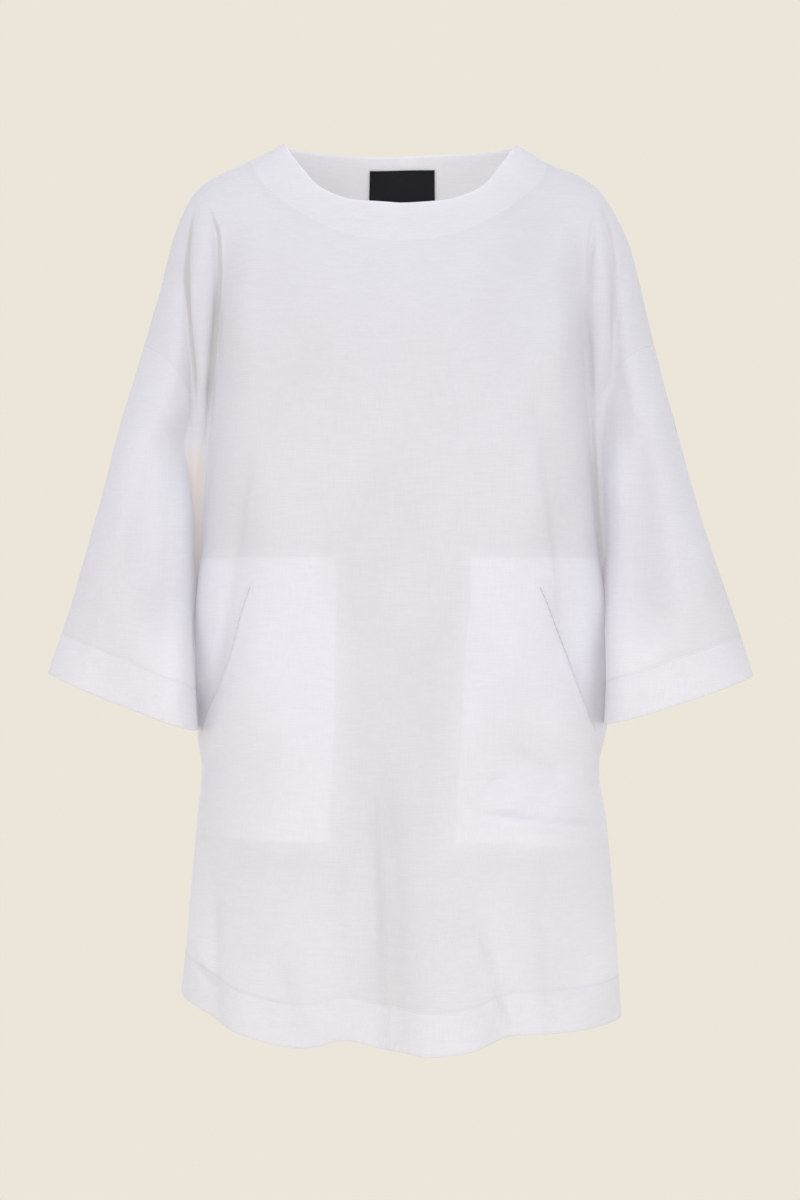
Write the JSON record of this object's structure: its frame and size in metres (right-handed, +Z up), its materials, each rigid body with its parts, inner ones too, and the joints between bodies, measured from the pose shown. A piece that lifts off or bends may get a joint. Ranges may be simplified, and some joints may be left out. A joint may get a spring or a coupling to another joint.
{
  "type": "tunic top",
  "caption": "Loose round-necked tunic top with dropped shoulders, wide elbow-length sleeves, slanted front pockets and a curved hem, filled out as worn.",
  "frame": {"origin": "midway between the two neck points, at their height, where the wearer's shoulders carry the garment", "axes": "+Z up, the front faces -Y, +X is to the viewer's right with the front facing the viewer"},
  "size_m": [0.6712, 0.2882, 0.8572],
  "materials": {
    "linen": "matt plain-woven white linen with a fine slub",
    "facing_linen": "matt plain-woven white linen, inner layer",
    "label_weave": "plain black woven tape"
  },
  "bodies": {
    "root": {"front": "linen", "back": "linen", "sleeve_left": "linen", "sleeve_right": "linen", "neck_facing_front": "facing_linen", "neck_facing_back": "facing_linen", "hem_facing_front": "facing_linen", "hem_facing_back": "facing_linen", "sleeve_hem_left": "facing_linen", "sleeve_hem_right": "facing_linen", "pocket_bag_left": "facing_linen", "pocket_bag_right": "facing_linen", "label": "label_weave"}
  },
  "joints": []
}
